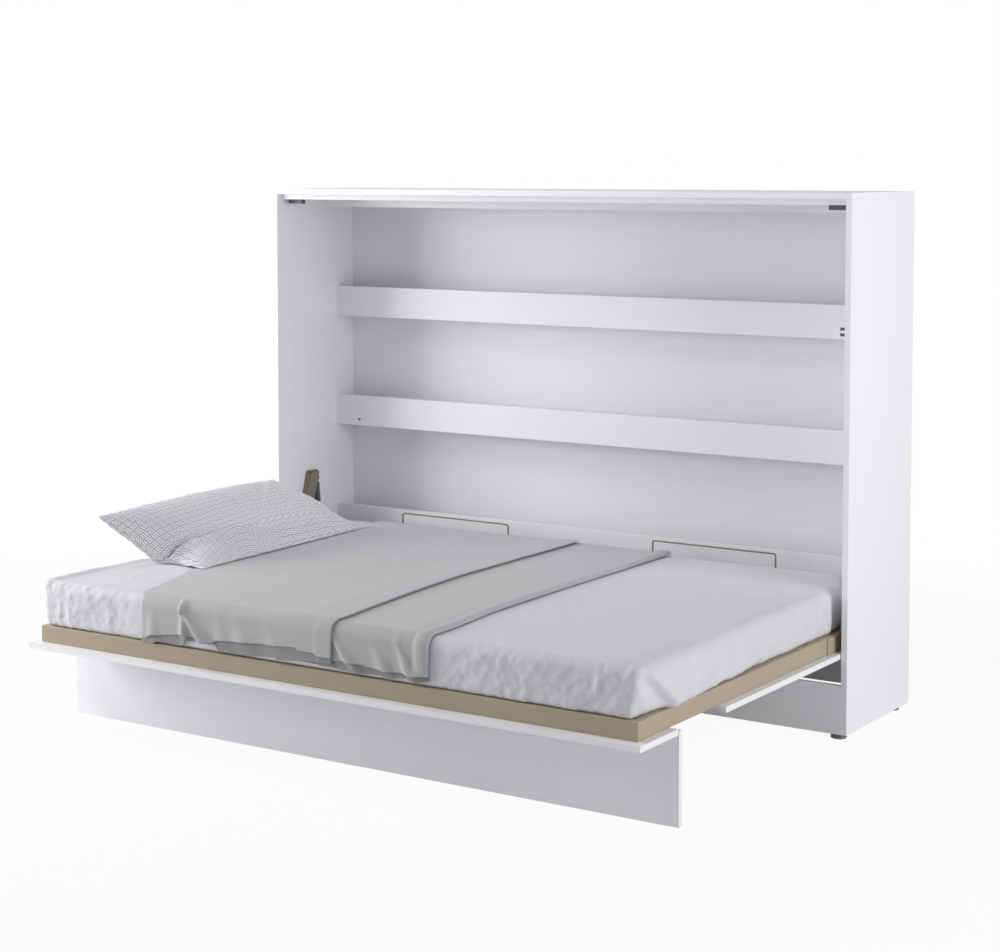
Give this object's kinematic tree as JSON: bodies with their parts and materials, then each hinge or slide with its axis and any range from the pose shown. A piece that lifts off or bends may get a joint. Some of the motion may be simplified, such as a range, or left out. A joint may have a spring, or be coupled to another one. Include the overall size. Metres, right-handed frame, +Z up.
{
  "type": "horizontal fold-down wall bed",
  "caption": "Wall cabinet with open shelves whose front folds down sideways into a bed on a fold-out leg panel, with mattress, throws and pillow.",
  "frame": {"origin": "on the floor, under the middle of the open bed's and cabinet's overall box", "axes": "+X along the cabinet to the viewer's right when facing its front, +Y from the room into the wall, +Z up"},
  "size_m": [2.12, 1.6426, 1.588],
  "materials": {
    "white_board": "white melamine-faced board, satin",
    "back_board": "white lacquered fibreboard, satin",
    "gold_paint": "beige gold powder coat, satin",
    "zinc_steel": "zinc-plated steel",
    "grey_fitting": "dark grey lacquer",
    "strut_grey": "grey lacquer, satin",
    "rod_steel": "ground and hard-chromed rod",
    "slat_wood": "laminated birch, clear lacquer",
    "holder_plastic": "black moulded plastic",
    "glide_plastic": "pale grey moulded plastic",
    "peg_metal": "nickel-plated",
    "sheet_fabric": "pale grey cotton fitted sheet",
    "throw_fabric": "light grey woven throw",
    "pillow_fabric": "grey cotton with a white basket-weave pattern"
  },
  "bodies": {
    "cabinet": {"side_panel_left": "white_board", "side_panel_right": "white_board", "top_panel": "white_board", "back_panel": "back_board", "plinth": "white_board", "low_rear_board": "white_board", "lower_shelf_lip": "white_board", "lower_shelf_board": "white_board", "upper_shelf_lip": "white_board", "upper_shelf_board": "white_board", "top_apron": "white_board", "stop_batten": "white_board", "wall_rail": "white_board", "glide_brackets": "glide_plastic", "frame_catch_left": "grey_fitting", "frame_catch_right": "grey_fitting", "catch_strike": "grey_fitting", "shelf_peg": "peg_metal", "pivot_plate_left": "zinc_steel", "pivot_plate_right": "zinc_steel", "strut_hood_left": "gold_paint", "strut_hood_right": "gold_paint"},
    "bed": {"frame_front_rail": "gold_paint", "frame_rear_rail": "gold_paint", "frame_left_rail": "gold_paint", "frame_right_rail": "gold_paint", "frame_middle_rail": "gold_paint", "frame_cross_tubes": "gold_paint", "slats_front_row": "slat_wood", "slats_rear_row": "slat_wood", "slat_holders_front_row": "holder_plastic", "slat_holders_rear_row": "holder_plastic", "facade_strip": "white_board", "facade_main_board": "white_board", "pivot_arm_left": "gold_paint", "pivot_arm_right": "gold_paint", "leg_hinge_tongues": "zinc_steel", "mattress_wire_left": "gold_paint", "mattress_wire_right": "gold_paint", "mattress": "sheet_fabric", "throw_wide": "throw_fabric", "throw_narrow": "throw_fabric", "pillow": "pillow_fabric"},
    "leg": {"leg_panel": "white_board"},
    "strut_cylinder_left": {"strut_cylinder_left": "strut_grey"},
    "strut_rod_left": {"strut_rod_left": "rod_steel"},
    "strut_cylinder_right": {"strut_cylinder_right": "strut_grey"},
    "strut_rod_right": {"strut_rod_right": "rod_steel"},
    "glide_front_left": {"glide_front_left": "glide_plastic"},
    "glide_front_right": {"glide_front_right": "glide_plastic"},
    "glide_rear_left": {"glide_rear_left": "glide_plastic"},
    "glide_rear_right": {"glide_rear_right": "glide_plastic"}
  },
  "joints": [
    {"name": "bed_fold", "type": "hinge", "parent": "cabinet", "child": "bed", "pos_m": [0, 0.432, 0.31275], "axis": [-1, 0, 0], "range_deg": [0, 90]},
    {"name": "leg_fold", "type": "hinge", "parent": "bed", "child": "leg", "pos_m": [0, -0.61425, 0.245], "axis": [1, 0, 0], "range_deg": [0, 90]},
    {"name": "strut_swing_left", "type": "hinge", "parent": "cabinet", "child": "strut_cylinder_left", "pos_m": [-1.029, 0.54525, 0.58], "axis": [-1, 0, 0], "range_deg": [0, 26.01]},
    {"name": "strut_slide_left", "type": "slide", "parent": "strut_cylinder_left", "child": "strut_rod_left", "axis": [0, 0.1178, -0.993], "range_m": [0, 0.1427]},
    {"name": "strut_swing_right", "type": "hinge", "parent": "cabinet", "child": "strut_cylinder_right", "pos_m": [1.029, 0.54525, 0.58], "axis": [-1, 0, 0], "range_deg": [0, 26.01]},
    {"name": "strut_slide_right", "type": "slide", "parent": "strut_cylinder_right", "child": "strut_rod_right", "axis": [0, 0.1178, -0.993], "range_m": [0, 0.1427]},
    {"name": "glide_turn_front_left", "type": "hinge", "parent": "cabinet", "child": "glide_front_left", "pos_m": [-1.025, 0.38225, 0.016], "axis": [0, 0, 1], "continuous": true},
    {"name": "glide_turn_front_right", "type": "hinge", "parent": "cabinet", "child": "glide_front_right", "pos_m": [1.025, 0.38225, 0.016], "axis": [0, 0, 1], "continuous": true},
    {"name": "glide_turn_rear_left", "type": "hinge", "parent": "cabinet", "child": "glide_rear_left", "pos_m": [-1.025, 0.77125, 0.016], "axis": [0, 0, 1], "continuous": true},
    {"name": "glide_turn_rear_right", "type": "hinge", "parent": "cabinet", "child": "glide_rear_right", "pos_m": [1.025, 0.77125, 0.016], "axis": [0, 0, 1], "continuous": true}
  ],
  "couplings": [
    {"joint": "strut_swing_left", "follows": "bed_fold", "ratio": 0.28345},
    {"joint": "strut_slide_left", "follows": "bed_fold", "m_per_rad": 0.090211},
    {"joint": "strut_swing_right", "follows": "bed_fold", "ratio": 0.28345},
    {"joint": "strut_slide_right", "follows": "bed_fold", "m_per_rad": 0.090211}
  ]
}
